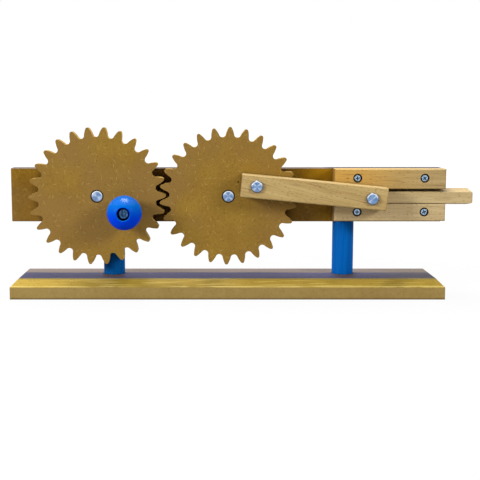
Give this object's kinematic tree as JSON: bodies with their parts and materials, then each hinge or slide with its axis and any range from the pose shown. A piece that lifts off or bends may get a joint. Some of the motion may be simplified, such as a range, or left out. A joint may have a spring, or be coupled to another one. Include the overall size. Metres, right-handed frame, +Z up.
{
  "type": "wooden crank gear toy",
  "caption": "Wooden crank toy: a ball knob turns a large spur gear, which drives its partner, whose crank pin and link push a dovetailed slider to and fro above a chamfered base.",
  "frame": {"origin": "centre of the base board's underside", "axes": "+X along the base towards the slider's nose, +Y to the back, +Z up"},
  "size_m": [0.46, 0.0949, 0.1692],
  "materials": {
    "base_mdf": "sealed fibreboard, satin",
    "beam_mdf": "sealed fibreboard, satin",
    "gear_mdf": "bare fibreboard, fine speckle",
    "beech": "planed beech, bare",
    "spacer_wood": "bare fibreboard",
    "blue_post": "satin blue paint on wood",
    "blue_knob": "gloss blue paint on wood",
    "turned_steel": "turned, bluish",
    "zinc_steel": "bluish zinc plate",
    "black_screw": "black oxide",
    "brass": "plain brass"
  },
  "bodies": {
    "frame": {"base_board": "base_mdf", "left_post": "blue_post", "right_post": "blue_post", "left_post_screw": "zinc_steel", "right_post_screw": "zinc_steel", "left_dowel_pin": "beech", "right_dowel_pin": "beech", "backbone_beam": "beam_mdf", "upper_guide_strip": "beech", "lower_guide_strip": "beech", "guide_screws": "zinc_steel", "drive_axle_pin": "turned_steel", "driven_axle_pin": "turned_steel", "drive_spacer": "spacer_wood", "driven_spacer": "spacer_wood", "drive_axle_washer": "zinc_steel", "driven_axle_washer": "zinc_steel", "drive_axle_nut": "zinc_steel", "driven_axle_nut": "zinc_steel"},
    "drive_wheel": {"drive_gear": "gear_mdf", "knob_screw": "black_screw", "knob_washer": "zinc_steel", "knob_t_nut": "zinc_steel"},
    "knob": {"ball_knob": "blue_knob"},
    "driven_wheel": {"driven_gear": "gear_mdf", "crank_pin": "turned_steel", "crank_washer": "zinc_steel", "crank_t_nut": "zinc_steel"},
    "link": {"connecting_link": "beech", "slider_pin": "turned_steel", "slider_washer": "zinc_steel"},
    "slide": {"slider": "beech", "slider_insert": "brass"}
  },
  "joints": [
    {"name": "drive_gear_turn", "type": "hinge", "parent": "frame", "child": "drive_wheel", "pos_m": [-0.129, -0.024, 0.101], "axis": [0, -1, 0], "continuous": true},
    {"name": "knob_spin", "type": "hinge", "parent": "drive_wheel", "child": "knob", "pos_m": [-0.10063, -0.04139, 0.08642], "axis": [0, -1, 0], "continuous": true},
    {"name": "driven_gear_turn", "type": "hinge", "parent": "frame", "child": "driven_wheel", "pos_m": [0.001, -0.024, 0.101], "axis": [0, -1, 0], "continuous": true},
    {"name": "link_turn", "type": "hinge", "parent": "driven_wheel", "child": "link", "pos_m": [0.0282, -0.0253, 0.11216], "axis": [0, -1, 0], "continuous": true},
    {"name": "slider_stroke", "type": "slide", "parent": "frame", "child": "slide", "axis": [1, 0, 0], "range_m": [-0.056, 0.0028]}
  ],
  "couplings": [
    {"joint": "driven_gear_turn", "follows": "drive_gear_turn", "ratio": -1},
    {"joint": "link_turn", "follows": "drive_gear_turn", "ratio": 1}
  ]
}
